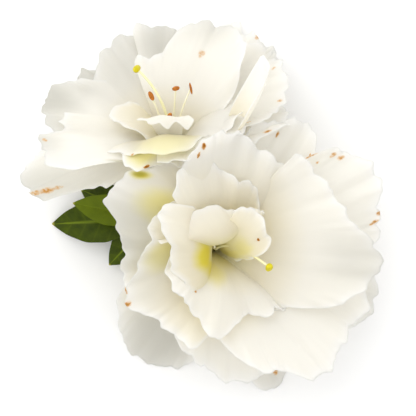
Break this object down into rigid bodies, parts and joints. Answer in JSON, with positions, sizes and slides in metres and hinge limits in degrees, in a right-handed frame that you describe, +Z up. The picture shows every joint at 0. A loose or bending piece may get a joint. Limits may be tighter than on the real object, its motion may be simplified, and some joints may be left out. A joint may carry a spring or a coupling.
{
  "type": "cut azalea sprig",
  "caption": "Cut azalea sprig lying on its back, with ruffled white double blooms, pointed green leaves and a short woody stem.",
  "frame": {"origin": "on the level surface that the sprig lies on, below the middle of its outline", "axes": "+Z up from the surface, out of the open blooms; +Y from the front bloom to the rear bloom, away from a viewer whose right is +X; the leaves point along -X"},
  "size_m": [0.0988, 0.1062, 0.0455],
  "materials": {
    "petal": "soft matt white with cream and green-yellow in the throat",
    "pistil": "satin yellow-green",
    "anther": "matt rust brown on a pale filament",
    "green_stalk": "downy pale green",
    "leaf": "slightly glossy dark green",
    "bark": "dull brown bark"
  },
  "bodies": {
    "root": {"twig": "bark", "front_stalk": "green_stalk", "rear_stalk": "green_stalk", "leaf_1": "leaf", "leaf_2": "leaf", "leaf_3": "leaf", "leaf_4": "leaf", "front_pistil": "pistil", "front_stamen_1": "anther", "front_stamen_2": "anther", "rear_pistil": "pistil", "rear_stamen_1": "anther", "rear_stamen_2": "anther", "rear_stamen_3": "anther", "rear_stamen_4": "anther", "front_bloom": "petal", "rear_bloom": "petal"}
  },
  "joints": []
}
